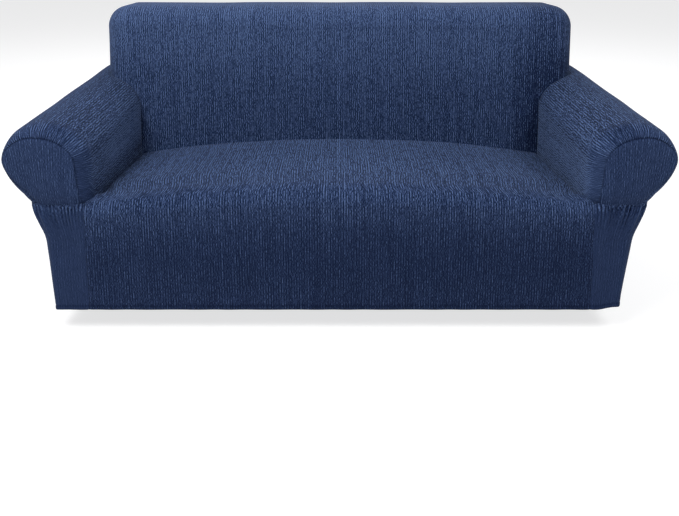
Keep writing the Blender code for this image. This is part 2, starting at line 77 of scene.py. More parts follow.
ARM_X = 0.7318
ROLL_OUT = 0.1161
ROLL_X = WIDTH / 2 - CLOTH / 2 - ROLL_OUT
ROLL_IN = ROLL_X - ARM_X
ROLL_UP = 0.1069
ROLL_DROP = 0.1462
ROLL_Z = 0.4693
ROLL_RISE = 0.042
ROLL_FLAT = 0.05
ARM_FOOT_Z = 0.285  # the drawn cloth is tucked 25 mm deeper than the solids
TUCK_Z = 0.3388
TUCK_X = 0.9170
TUCK_ANGLE = -51.0
FRONT_ROUND = 0.0556
SIDE_SEAM_X = BACK_X + LAP
CAP_TOP_ANGLES = (149.6, 18.2)  # where the cap's top side meets its inner and outer sides
CAP_INSETS = (
    # angle, inset
    (180.0, 0.0360),
    (150.0, 0.0380),
    (120.0, 0.0350),
    (90.0, 0.0315),
    (60.0, 0.0250),
    (40.0, 0.0200),
    (10.0, 0.0093),
    (TUCK_ANGLE, 0.0340),
)
CAP_TUCK_INSET = 0.030
CAP_FOOT_INSET = 0.030
CAP_EDGE_Y = 0.004
CAP_GAP = 0.0007  # drawn closer than between the solids
CAP_BULGE = 0.010
CAP_FULLNESS = 0.75
FIRST_TURN = radians(15.0)  # the sleeve's turn where the cap is sewn to it

SEAT_Z = 0.3925
SEAT_FALL = 0.005
SEAT_CROWN = 0.036
REAR_CROWN = 0.052
CROWN_POWER = 2.2
SEAT_ROUND = 0.055
SEAT_TURN = 0.020  # drawn tighter than on the solid
SEAT_LAP = 0.020
SEAT_END_Y = BACK_FOOT_Y - LAP
TURN_LENGTH = SEAT_TURN * pi / 2 + SEAT_LAP
CREVICE_START = 0.040  # depth where the seat's side begins to turn down into its crevice
CREVICE_GROWTH = 0.150  # and depth over which it does
FRONT_BOW = 0.007
BOW_RISE = 0.15
FRONT_SEAM_TOP_X = 0.754
FRONT_SEAM_HEM_X = 0.768
SEAM_X = ARM_X + BUTT  # where the back's foot leaves the crevice for the arm
SEAM_STEP = 0.0030  # from there to the back's next column of points

SKIRT_SIDES = {
    # height, side_x, corner
    "left": (
        (0.000, 0.8720, 0.010),
        (0.095, 0.8745, 0.014),
        (0.185, 0.8805, 0.025),
        (0.235, 0.8865, 0.035),
        (0.280, 0.9000, 0.035),
        (0.320, 0.9115, 0.035),
        (TUCK_Z, 0.9180, 0.035),
    ),
    "right": (
        (0.000, 0.8605, 0.014),
        (0.095, 0.8665, 0.018),
        (0.185, 0.8750, 0.025),
        (0.235, 0.8835, 0.035),
        (0.280, 0.8975, 0.035),
        (0.320, 0.9100, 0.035),
        (TUCK_Z, 0.9180, 0.035),
    ),
}
SKIRT_FRONT = (
    # height, front_y, with a first row that the solid doesn't have
    (0.000, 0.000),
    (0.235, 0.000),
    (0.280, -0.001),
    (0.320, 0.001),
    (TUCK_Z, 0.010),
)
HEM_LIFTS = {"left": 0.0, "right": 0.009}
LIFT_SHARE = 0.80  # drawn over more of the front than on the solid
LIFT_DEPTH = 0.300
JOIN_Y = 0.022
JOIN_BLEND = 0.035

# The knit as it is drawn here
SHEET = 0.0015  # thickness of each panel
PITCH = 0.0075  # usual distance between points of a panel
FINE_PITCH = 0.0022  # the same across the gathers
EDGE_STEPS = (0.0, 0.0015, 0.0030, 0.0050, 0.0080, 0.0120)  # distances of the rows beside a sewn edge
SEAM_DIP = 0.0016
SEAM_REACH = 0.0055
PUCKER_DEPTH = 0.00035
PUCKER_LENGTH = 0.012
PUCKER_REACH = 0.014
HEM_LINE = 0.013  # height of the hem's stitch line
HEM_GROOVE = 0.0011
HEM_DOUBLED = 0.0009  # how far the doubled cloth below that line stands out
HEM_SOFTNESS = 0.003
HEM_RIPPLE = 0.0006
STITCH_WIDTH = 0.0025
GATHER_DEPTH = 0.0036  # the gathers are deeper, longer and a little more even than the solids'
GATHER_FADE = 0.080
GATHERS = 11
GATHER_VARIETY = 0.30
ALLOWANCE = np.array((0.002, 0.006))  # rows of the seam allowances, hidden inside
ALLOWANCE_DEPTH = 0.0030
BEAD = 0.0022  # the gathered edge is drawn as a small roll
BEAD_WIDTH = 0.009

RIB = 0.0078  # distance between the ribs that show
STREAK = 0.24  # lengths of the light and dark yarn along them, from streaks to flecks
SLUB = 0.036
FINE_SLUB = 0.0065
PLAIN_DYE = 0.5  # the yarn in the middle of its range, darker below and lighter above

NAVY_YARNS = (
    # from the darkest to the lightest
    (0.0020, 0.0064, 0.0250),
    (0.0074, 0.0161, 0.0512),
    (0.0216, 0.0388, 0.0968),
    (0.0435, 0.0730, 0.1620),
    (0.0820, 0.1300, 0.2600),
)

# Where the panels are in the CAD model's frame
REAR_LOW, REAR_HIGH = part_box("outside_back")
ORIGIN = np.array((0.0, REAR_HIGH[1] - DEPTH, REAR_LOW[2]))


def blend(low, high, share):
    return low + (high - low) * share


def smooth(share):
    share = np.clip(share, 0.0, 1.0)
    return share * share * (3.0 - 2.0 * share)


def curve_through(table, key, column):
    """Reads a column of a table by a smooth curve through its rows."""
    rows = np.array(sorted(table))
    keys = rows[:, 0]
    values = rows[:, column]
    slopes = np.gradient(values, keys)
    key = np.clip(key, keys[0], keys[-1])
    at = np.clip(np.searchsorted(keys, key) - 1, 0, len(keys) - 2)
    width = keys[at + 1] - keys[at]
    share = (key - keys[at]) / width
    ease = smooth(share)
    rise = share * (1.0 - share) ** 2 * slopes[at] - share**2 * (1.0 - share) * slopes[at + 1]
    return blend(values[at], values[at + 1], ease) + rise * width


# ---------------------------------------------------------------- shapes that panels share


def back_face_y(z):
    return BACK_FOOT_Y + (np.clip(z, CREVICE_Z, BACK_FLAT_Z) - CREVICE_Z) * BACK_LEAN


def roll_point(angle, y, inset=0.0):
    """x and z of the roll's outline at an angle in degrees, 180 inside, 90 on top and 0 outside."""
    turn = np.radians(angle)
    below = angle < 0.0
    squash = np.where(below, 1.0 - ROLL_FLAT * np.sin(2.0 * np.abs(turn)), 1.0)
    across = np.where(angle < 90.0, ROLL_OUT, ROLL_IN) - inset
    up = np.where(below, ROLL_DROP, ROLL_UP) - inset
    x = ROLL_X + across * np.cos(turn) * squash
    z = ROLL_Z + ROLL_RISE * y / DEPTH + up * np.sin(turn) * squash
    return x, z


def roll_angle(x, inset=0.0):
    across = np.where(x > ROLL_X, ROLL_OUT, ROLL_IN) - inset
    return np.degrees(np.arccos(np.clip((x - ROLL_X) / across, -1.0, 1.0)))


def roll_top_z(x, y, inset=0.0):
    return roll_point(roll_angle(x, inset), y, inset)[1]


def tuck_y(x):
    return blend(SKIRT_FRONT[-1][1], JOIN_Y, smooth(1.0 - (x - FRONT_SEAM_TOP_X) / JOIN_BLEND))


def cap_edge_y(x, z):
    return blend(CAP_EDGE_Y, tuck_y(x), smooth(1.0 - (z - TUCK_Z) / JOIN_BLEND))


def front_seam_x(z):
    return blend(FRONT_SEAM_HEM_X, FRONT_SEAM_TOP_X, np.minimum(z / TUCK_Z, 1.0))


def front_edge_y(z):
    """Depth of the front's side edge at a height."""
    rise = np.clip(z - (SEAT_Z - SEAT_CROWN - SEAT_ROUND), 0.0, SEAT_ROUND)
    return SEAT_ROUND - np.sqrt(SEAT_ROUND**2 - rise**2)


# ---------------------------------------------------------------- arm sleeve
# Round: 0 at the foot of the inner face, 1 where the roll starts, 2 under it, 3 at the gathered seam.
# Along: 0 at the cap's seam, 1 past the turn, 2 at the back's face, 3 beside the back, 4 at the rear seam.

SEAM_ANGLE = float(roll_angle(SIDE_SEAM_X))
SEAM_ROUND = 1.0 + (180.0 - SEAM_ANGLE) / (180.0 - TUCK_ANGLE)
SEAM_SLIDE = 18.0  # degrees over which the sleeve follows the slide of the back's side seam


def round_angle(around):
    return blend(180.0, TUCK_ANGLE, np.clip(around - 1.0, 0.0, 1.0))


def cap_inset(around):
    face = blend(CAP_FOOT_INSET, CAP_INSETS[0][1], around)
    roll = curve_through(CAP_INSETS, round_angle(around), 1)
    under = blend(CAP_INSETS[-1][1], CAP_TUCK_INSET, around - 2.0)
    return np.where(around < 1.0, face, np.where(around < 2.0, roll, under))


def sleeve_outline(around, y, inset, face_foot=ARM_FOOT_Z, slide=0.0):
    """x and z of the sleeve's section."""
    top = ROLL_Z + ROLL_RISE * y / DEPTH
    roll_x, roll_z = roll_point(round_angle(around) + slide, y, inset)
    under = np.clip(around - 2.0, 0.0, 1.0)
    x = np.where(around < 1.0, ARM_X + inset, blend(roll_x, TUCK_X - inset, under))
    z = np.where(around < 1.0, blend(face_foot, top, around), blend(roll_z, TUCK_Z + EDGE_GAP, under))
    return x, z


def sleeve_back_y(around):
    """How far back the sleeve reaches in front of the back, or until it passes its side."""
    x, z = sleeve_outline(around, back_face_y(ROLL_Z), 0.0)
    reach = BACK_ROUND + BUTT
    turned = np.where(around < 1.0, 0.0, np.clip((x - BACK_FLAT_X) / reach, 0.0, 1.0))
    turned = np.where(around > SEAM_ROUND, 1.0, turned)
    return back_face_y(z) + BACK_ROUND - reach * np.sqrt(1.0 - turned**2)


def cap_edge(around, shrink=0.0):
    """x and z of the cap's seam, or of a point this much further inside it."""
    x, z = sleeve_outline(around, 0.0, cap_inset(around), TUCK_Z + EDGE_GAP)
    inward_x = ROLL_X - x
    inward_z = ROLL_Z - z
    ends = smooth(around / 0.05) * smooth((3.0 - around) / 0.05)
    inward_z = inward_z * ends
    length = np.hypot(inward_x, inward_z)
    return x + inward_x / length * shrink, z + inward_z / length * shrink


def sleeve_place(around, along):
    turn = blend(FIRST_TURN, pi / 2, np.clip(along, 0.0, 1.0))
    seam_x, seam_z = cap_edge(around)
    turned_y = blend(cap_edge_y(seam_x, seam_z), FRONT_ROUND, 1.0 - np.cos(turn) / cos(FIRST_TURN))
    inset = cap_inset(around) * (1.0 - np.sin(turn)) / (1.0 - sin(FIRST_TURN))
    foot = blend(TUCK_Z + EDGE_GAP, ARM_FOOT_Z, smooth((turned_y - JOIN_Y) / (FRONT_ROUND - JOIN_Y)))
    back_y = sleeve_back_y(around)
    out = np.clip(along - 3.0, 0.0, 1.0) * pi / 2
    y = blend(FRONT_ROUND, back_y, np.clip(along - 1.0, 0.0, 1.0))
    y = blend(y, REAR_Y - REAR_ROUND, np.clip(along - 2.0, 0.0, 1.0)) + REAR_ROUND * np.sin(out)
    y = np.where(along < 1.0, turned_y, y)
    inset = np.where(along < 1.0, inset, REAR_ROUND * (1.0 - np.cos(out)))
    foot = np.where(along < 1.0, foot, ARM_FOOT_Z)
    follow = 1.0 - smooth((SEAM_ANGLE - round_angle(around)) / SEAM_SLIDE)
    slide = np.where(along > 3.0, roll_angle(SIDE_SEAM_X - inset, inset) - SEAM_ANGLE, 0.0) * follow
    x, z = sleeve_outline(around, y, inset, foot, slide)
    return x, y, z


# ---------------------------------------------------------------- arm cap


def top_arc(around):
    """1 over the top of the cap's seam and 0 at its sides, with soft ends."""
    angle = round_angle(around)
    inner = smooth((CAP_TOP_ANGLES[0] + 22.0 - angle) / 20.0)
    outer = smooth((angle - CAP_TOP_ANGLES[1] + 10.0) / 20.0)
    return inner * outer


def cap_place(across, up):
    """A patch between the four sides of the cap, slightly domed."""
    top_start, top_end = [1.0 + (180.0 - angle) / (180.0 - TUCK_ANGLE) for angle in CAP_TOP_ANGLES]
    inner = np.array(cap_edge(up * top_start, CAP_GAP))
    outer = np.array(cap_edge(blend(3.0, top_end, up), CAP_GAP))
    top = np.array(cap_edge(blend(top_start, top_end, across), CAP_GAP))
    corners = np.array(cap_edge(np.array((top_start, top_end)), CAP_GAP))
    chord = blend(corners[:, :1, None], corners[:, 1:, None], across)
    x, z = blend(inner, outer, across) + (top - chord) * up
    dome = np.maximum(np.sin(pi * across) * np.sin(pi * up), 0.0) ** CAP_FULLNESS
    return x, cap_edge_y(x, z) - CAP_BULGE * dome, z


# ---------------------------------------------------------------- arm skirt
# Round: 0 at the front seam, 1 before the corner, 2 past it, 3 at the end of the side, 4 at the rear seam.


def gathers(around, z):
    """How far the cloth stands out on its gathers, which fade below their seam and towards the back."""
    along = np.where(around < 1.0, GATHERS * around, GATHERS + 2.4 * (around - 1.0))
    fade = smooth(1.0 - (TUCK_Z - z) / (GATHER_FADE * (1.0 + 0.45 * np.sin(1.7 * along + 0.4))))
    fade = fade * smooth((TUCK_Z - z + 0.001) / 0.008)
    size = 1.0 + GATHER_VARIETY * np.sin(2.3 * along + 0.6)
    start = smooth(along)
    end = 1.0 - smooth((around - 1.0) / 2.0)
    turn = 2.0 * pi * along + 0.9 * np.sin(1.3 * along)
    return GATHER_DEPTH * fade * start * end * size * np.sin(turn)


def skirt_place(side, around, z, shrink=0.0):
    side_x = curve_through(SKIRT_SIDES[side], z, 1)
    corner = curve_through(SKIRT_SIDES[side], z, 2)
    front_y = curve_through(SKIRT_FRONT, z, 1)
    out = gathers(around, z)
    seam = front_seam_x(z)
    front_x = blend(seam, side_x - corner, around)
    inner = smooth(1.0 - (front_x - seam) / JOIN_BLEND)
    front_depth = blend(front_y, front_edge_y(z), inner) - out
    turn = np.clip(around - 1.0, 0.0, 1.0) * pi / 2
    corner_x = side_x - corner + (corner + out) * np.sin(turn)
    corner_y = front_y + corner - (corner + out) * np.cos(turn)
    side_y = blend(front_y + corner, REAR_Y - REAR_ROUND, np.clip(around - 2.0, 0.0, 1.0))
    back = np.clip(around - 3.0, 0.0, 1.0) * pi / 2
    rear_x = side_x + out - REAR_ROUND * (1.0 - np.cos(back)) - shrink
    rear_y = side_y + REAR_ROUND * np.sin(back)
    x = np.where(around < 1.0, front_x, np.where(around < 2.0, corner_x, rear_x))
    y = np.where(around < 1.0, front_depth, np.where(around < 2.0, corner_y, rear_y))
    rise = smooth(1.0 - (1.0 - around) / LIFT_SHARE) * (1.0 - smooth(y / LIFT_DEPTH))
    lift = HEM_LIFTS[side] * rise * (1.0 - smooth(z / SKIRT_SIDES[side][1][0]))
    return x, y, z + lift


# ---------------------------------------------------------------- seat and front
# Across: 0 in the middle, 1 at the end of the flat, 2 past the turn into the crevice, 3 at the edge.
# Up: 0 at the hem, 1 below the front edge, 2 over it, 3 at the back of the seat, 4 turned down, 5 its end.


def crevice_share(y):
    """0 where the seat runs straight into the arm, 1 where its side is tucked down beside it."""
    return smooth((y - CREVICE_START) / CREVICE_GROWTH)


def seat_edge_x(y, z):
    front = front_seam_x(z)
    share = np.clip((y - JOIN_Y) / (FRONT_ROUND - JOIN_Y), 0.0, 1.0)
    turned = np.sqrt(1.0 - (1.0 - share) ** 2)
    beside = np.minimum(front, ARM_X + CAP_FOOT_INSET * (1.0 - turned) - LAP * crevice_share(y))
    return np.where(y <= JOIN_Y, front, beside)


def seat_place(across, up):
    hand = np.sign(across)
    across = np.abs(across)
    share = np.clip(across, 0.0, 1.0)
    side_turn = np.clip(across - 1.0, 0.0, 1.0) * pi / 2
    side_lap = np.clip(across - 2.0, 0.0, 1.0)
    flat_left = TURN_LENGTH - SEAT_TURN * side_turn - SEAT_LAP * side_lap
    turned_left = SEAT_TURN * (1.0 - np.sin(side_turn))
    fall = SEAT_TURN * (1.0 - np.cos(side_turn)) + SEAT_LAP * side_lap
    front_top = SEAT_Z - SEAT_CROWN * share**CROWN_POWER
    rear_top = SEAT_Z - SEAT_FALL - REAR_CROWN * share**CROWN_POWER
    bow = FRONT_BOW * (1.0 - share**2)
    turn = np.clip(up - 1.0, 0.0, 1.0) * pi / 2
    along = np.clip(up - 2.0, 0.0, 1.0)
    dip = np.clip(up - 3.0, 0.0, 1.0) * pi / 2
    lap = np.clip(up - 4.0, 0.0, 1.0)
    front_z = (front_top - SEAT_ROUND) * np.clip(up, 0.0, 1.0)
    bowed = np.where(up < 1.0, smooth(front_z / BOW_RISE), np.cos(turn))
    y = SEAT_ROUND * (1.0 - np.cos(turn)) - bow * bowed
    y += (SEAT_END_Y - SEAT_TURN - SEAT_ROUND) * along + SEAT_TURN * np.sin(dip)
    z = front_z + SEAT_ROUND * np.sin(turn) + (rear_top - front_top) * along
    z -= SEAT_TURN * (1.0 - np.cos(dip)) + SEAT_LAP * lap
    turned = crevice_share(y)
    y += np.cos(turn) * fall * turned
    z -= np.sin(turn) * fall * turned
    left = blend(flat_left, turned_left, turned)
    return hand * (seat_edge_x(y, z) - left) * share, y, z


# ---------------------------------------------------------------- inside back
# Rings: 0 at the rear seam, 2 on the side or top, 3 at the front edge's turn, 7 on the flat front.

RINGS = 7
RING_STEPS = (
    # from ring, to ring, points
    (0.0, 2.0, 9),
    (2.0, 3.0, 10),
    (3.0, 7.0, 22),
)
BACK_SIDE_LENGTH = 0.135  # length of cloth on the flat of a boxed side


def ring(number, z):
    """Inset from the outline of the back and depth of a ring at a height."""
    rear = np.clip(1.0 - number / 2.0, 0.0, 1.0) * pi / 2
    turn = np.clip((RINGS - number) / 4.0, 0.0, 1.0) * pi / 2
    front_inset = BACK_ROUND * (1.0 - np.sin(turn))
    front_y = back_face_y(z) + BACK_ROUND * (1.0 - np.cos(turn))
    rear_y = REAR_Y - REAR_ROUND * (1.0 - np.sin(rear))
    side_y = blend(rear_y, front_y, np.clip(number - 2.0, 0.0, 1.0))
    inset = np.where(number < 2.0, REAR_ROUND * (1.0 - np.cos(rear)), front_inset)
    return inset, side_y


def back_wrap(number):
    """Length of cloth from the edge of the flat front to a ring."""
    front = BACK_ROUND * np.clip((RINGS - number) / 4.0, 0.0, 1.0) * pi / 2
    side = BACK_SIDE_LENGTH * np.clip(3.0 - number, 0.0, 1.0)
    rear = REAR_ROUND * np.clip(1.0 - number / 2.0, 0.0, 1.0) * pi / 2
    return front + side + rear


def back_foot_z(x, number):
    """Lower edge of the inside back: in the seat's crevice, then along the arm."""
    inset, y = ring(number, ROLL_Z)
    inset = np.where(number < 2.0, inset, 0.0)
    y = np.where(number < 3.0, y, back_face_y(ROLL_Z))
    off = blend(-LAP, BUTT, np.clip(inset / (0.3 * REAR_ROUND), 0.0, 1.0))
    return np.where(x <= SEAM_X, TUCKED_Z, roll_top_z(x, y, inset) + off)


def back_place(from_side, from_top, flat_x, up, hand):
    """from_side and from_top are ring numbers; flat_x and up place the points inside the rings."""
    number = np.minimum(np.minimum(from_side, from_top), RINGS)
    inset = ring(number, BACK_FLAT_Z)[0]
    beside = from_side <= from_top
    room = np.maximum(RINGS - number, 1e-9)
    side_turn = (pi / 4) * np.clip((RINGS - from_top) / room, 0.0, 1.0)
    top_turn = pi / 2 - (pi / 4) * np.clip((RINGS - from_side) / room, 0.0, 1.0)
    turn = np.where(beside, side_turn, top_turn)
    reach = BACK_ROUND - inset
    flat = from_side >= RINGS
    x = np.where(flat, flat_x, BACK_FLAT_X + reach * np.cos(turn))
    foot = back_foot_z(x, number)
    z = np.where(flat, BACK_FLAT_Z + reach, BACK_FLAT_Z + reach * np.sin(turn))
    z = np.where(from_top >= RINGS, blend(foot, BACK_FLAT_Z, up), z)
    return hand * x, ring(number, z)[1], z


# ---------------------------------------------------------------- outside back

REAR_SKIRT_POINTS = 44
REAR_SLEEVE_POINTS = 60
REAR_SIDE_POINTS = 20
REAR_CORNER_POINTS = 13


def rear_outline(side, hand):
    """One half of the outside back's outline, from its hem up to the middle of its top."""
    shrink = EDGE_GAP + GAP / 2
    heights = np.linspace(0.0, TUCK_Z - EDGE_GAP, REAR_SKIRT_POINTS)
    skirt_x, _, skirt_z = skirt_place(side, np.full(REAR_SKIRT_POINTS, 4.0), heights, shrink)
    around = np.linspace(3.0, SEAM_ROUND, REAR_SLEEVE_POINTS)
    inset = REAR_ROUND + shrink
    follow = 1.0 - smooth((SEAM_ANGLE - round_angle(around)) / SEAM_SLIDE)
    slide = (roll_angle(SIDE_SEAM_X - inset, inset) - SEAM_ANGLE) * follow
    sleeve_x, sleeve_z = sleeve_outline(around, REAR_Y, inset, ARM_FOOT_Z, slide)
    side_x = BACK_X - inset
    sleeve_x[-1] = side_x
    corner = BACK_ROUND - inset
    turn = np.linspace(0.0, pi / 2, REAR_CORNER_POINTS)
    corner_x = side_x - corner * (1.0 - np.cos(turn))
    corner_z = BACK_FLAT_Z + corner * np.sin(turn)
    sides = np.linspace(sleeve_z[-1], corner_z[0], REAR_SIDE_POINTS + 2)[1:-1]
    x = np.concatenate((skirt_x, sleeve_x, np.full(REAR_SIDE_POINTS, side_x), corner_x))
    z = np.concatenate((skirt_z, sleeve_z, sides, corner_z))
    return np.stack((hand * x, z), axis=1)


# ---------------------------------------------------------------- making a panel


def stages(lengths, sewn=(True, True), pitches=None):
    """Places along a panel whose whole numbers part stretches of these lengths, closer at sewn ends."""
    places = [np.zeros(1)]
    for number, length in enumerate(lengths):
        pitch = pitches[number] if pitches else PITCH
        shares = np.linspace(0.0, 1.0, max(round(length / pitch), 2) + 1)[1:]
        edge = np.array(EDGE_STEPS) / length
        room = 0.5 * pitch / length
        if number == 0 and sewn[0]:
            shares = np.concatenate((edge[1:], shares[shares > edge[-1] + room]))
        if number == len(lengths) - 1 and sewn[1]:
            shares = np.concatenate((shares[shares < 1.0 - edge[-1] - room], 1.0 - edge[::-1]))
        places.append(number + shares)
    return np.concatenate(places)


def lengths_along(points, axis):
    """How far each point of a grid is along its row or column, in metres."""
    steps = np.linalg.norm(np.diff(points, axis=axis), axis=2)
    start = np.zeros_like(np.take(steps, [0], axis=axis))
    return np.cumsum(np.concatenate((start, steps), axis=axis), axis=axis)


def grid_faces(rows, columns, keep=None):
    numbers = np.arange(rows * columns).reshape(rows, columns)
    faces = np.stack((numbers[:-1, :-1], numbers[:-1, 1:], numbers[1:, 1:], numbers[1:, :-1]), axis=-1)
    return faces[keep] if keep is not None else faces.reshape(-1, 4)


def seam(distance, along):
    """Lift beside a sewn edge: a dip at the stitches and small puckers that fade."""
    dip = -SEAM_DIP * np.exp(-((distance / SEAM_REACH) ** 2))
    wave = np.sin(2.0 * pi * along / PUCKER_LENGTH + 1.6 * np.sin(along / 0.041))
    return dip + PUCKER_DEPTH * wave * np.exp(-distance / PUCKER_REACH)


def hem_bands(height):
    """How much a height belongs to the doubled edge, and to the stitch line over it."""
    doubled = 1.0 - smooth((height - HEM_LINE) / HEM_SOFTNESS)
    stitches = np.exp(-(((height - HEM_LINE) / STITCH_WIDTH) ** 2))
    return doubled, stitches


def hem(height, along):
    """Lift at the hem: a doubled edge with a stitched groove over it."""
    doubled, stitches = hem_bands(height)
    ripple = HEM_RIPPLE * np.sin(along / 0.019 + np.sin(along / 0.057)) * (1.0 - smooth(height / 0.05))
    return HEM_DOUBLED * doubled - HEM_GROOVE * stitches + ripple


def hem_painted_shade(height):
    """How much darker the hem is: painted shade on its doubled edge, and more along the stitch line."""
    doubled, stitches = hem_bands(height)
    return 0.08 * doubled + 0.10 * stitches


LUMPS = (
    # direction in degrees, length in metres, phase, share
    (12.0, 0.46, 0.3, 0.30),
    (74.0, 0.37, 2.1, 0.24),
    (131.0, 0.29, 4.4, 0.18),
    (98.0, 0.21, 1.2, 0.15),
    (38.0, 0.17, 5.3, 0.13),
)


def lumps(u, v, height, phase):
    """Gentle unevenness of stretched cloth over a stuffed sofa."""
    total = np.zeros_like(u)
    for direction, length, start, share in LUMPS:
        way = radians(direction)
        total += share * np.sin(2.0 * pi * (u * cos(way) + v * sin(way)) / length + start + phase)
    return height * total


def creases(u, v, table):
    """Soft troughs, or ridges where the depth is negative, along bent lines that fade at both ends."""
    total = np.zeros_like(u)
    for start_u, start_v, end_u, end_v, width, depth in table:
        length = np.hypot(end_u - start_u, end_v - start_v)
        way_u = (end_u - start_u) / length
        way_v = (end_v - start_v) / length
        along = ((u - start_u) * way_u + (v - start_v) * way_v) / length
        off = (v - start_v) * way_u - (u - start_u) * way_v
        off = off + 0.06 * length * np.sin(pi * np.clip(along, 0.0, 1.0))
        fade = smooth(along / 0.35) * smooth((1.0 - along) / 0.35)
        total -= depth * fade * np.exp(-((off / width) ** 2))
    return total


def outward_normals(points, faces, inside):
    """Unit normals of the points, and whether the faces look away from a place inside the cover."""
    corners = points[faces.T]
    across = np.cross(corners[2] - corners[0], corners[-1] - corners[1])
    normals = np.zeros_like(points)
    for corner in faces.T:
        np.add.at(normals, corner, across)
    normals /= np.maximum(np.linalg.norm(normals, axis=1, keepdims=True), 1e-12)
    outward = np.sum(normals * (points - np.array(inside))) > 0.0
    return (normals if outward else -normals), outward


def add_object(name, data):
    made = bpy.data.objects.new(name, data)
    bpy.context.scene.collection.objects.link(made)
    return made


def add_panel(
    name, points, faces, uv, lift, contrast, dye_and_painted_shading, inside, material, flat, area, rests_on, held="stretched"
):
    normals, outward = outward_normals(points, faces, inside)
    places = points + normals * lift[:, None] + ORIGIN
    if not outward:
        faces = faces[:, ::-1]
    used, numbers = np.unique(faces, return_inverse=True)
    faces = numbers.reshape(faces.shape)
    mesh = bpy.data.meshes.new(name + "_knit")
    mesh.from_pydata(places[used].tolist(), [], faces.tolist())
    mesh.uv_layers.new(name="Knit").data.foreach_set("uv", uv[used][faces.ravel()].ravel())
    # the second attribute holds each point's yarn tone together with its painted light and shade
    for label, values in (("Contrast", contrast), ("DyeAndPaintedShading", dye_and_painted_shading)):
        values = np.broadcast_to(values, (len(points),))[used]
        mesh.attributes.new(label, "FLOAT", "POINT").data.foreach_set("value", values)
    mesh.shade_smooth()
    mesh.materials.append(material)
    panel = add_object(name + "_knit", mesh)
    thicken = panel.modifiers.new("cloth", "SOLIDIFY")
    thicken.thickness = SHEET
    thicken.offset = 0.0
    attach(panel, "root")
    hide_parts(name)
    return panel


def add_grid_panel(name, points, texture, lift, contrast, dye_and_painted_shading, keep=None, **facts):
    """Makes one panel from grids of points, texture places, lifts and tones."""
    rows, columns = points.shape[:2]
    uv = np.stack(texture, axis=-1).reshape(-1, 2)
    faces = grid_faces(rows, columns, keep)
    lists = [np.ravel(grid) for grid in (lift, contrast, dye_and_painted_shading)]
    return add_panel(name, points.reshape(-1, 3), faces, uv, *lists, **facts)


def grid_points(place, across, along):
    return np.stack(place(*np.meshgrid(across, along)), axis=-1)


def grid_uv(points, row, column):
    """Texture places of a grid: along a reference row and a reference column, in metres."""
    across = lengths_along(points, 1)[row]
    along = lengths_along(points, 0)[:, column]
    return np.meshgrid(across, along)


# ---------------------------------------------------------------- the knit's material


def add_node(tree, kind, inputs=(), **settings):
    """A node whose inputs are given in order, each a value, a socket or nothing."""
    made = tree.nodes.new(kind)
    for name, value in settings.items():
        setattr(made, name, value)
    for place, value in enumerate(inputs):
        if isinstance(value, bpy.types.NodeSocket):
            tree.links.new(value, made.inputs[place])
        elif value is not None:
            made.inputs[place].default_value = value
    return made


def maths(tree, operation, first, second=0.0, third=0.0):
    return add_node(tree, "ShaderNodeMath", (first, second, third), operation=operation).outputs[0]


def flecks(tree, u, v, width, length, seed):
    """Soft-ended flecks in columns: a random brightness for each, from -1 to 1."""
    node = partial(add_node, tree)
    calc = partial(maths, tree)
    column = calc("FLOOR", calc("DIVIDE", u, width))
    column_key = node("ShaderNodeCombineXYZ", (column, seed, 0.0)).outputs[0]
    shift = node("ShaderNodeTexWhiteNoise", (column_key,), noise_dimensions="2D").outputs[0]
    along = calc("MULTIPLY_ADD", shift, 7.3, calc("DIVIDE", v, length))
    row = calc("FLOOR", along)
    key = node("ShaderNodeCombineXYZ", (column, row, seed)).outputs[0]
    value = node("ShaderNodeTexWhiteNoise", (key,), noise_dimensions="3D").outputs[0]
    centred = calc("MULTIPLY_ADD", value, 2.0, -1.0)
    ends = calc("SINE", calc("MULTIPLY", calc("FRACT", along), pi))
    return calc("MULTIPLY", centred, calc("POWER", ends, 0.6))


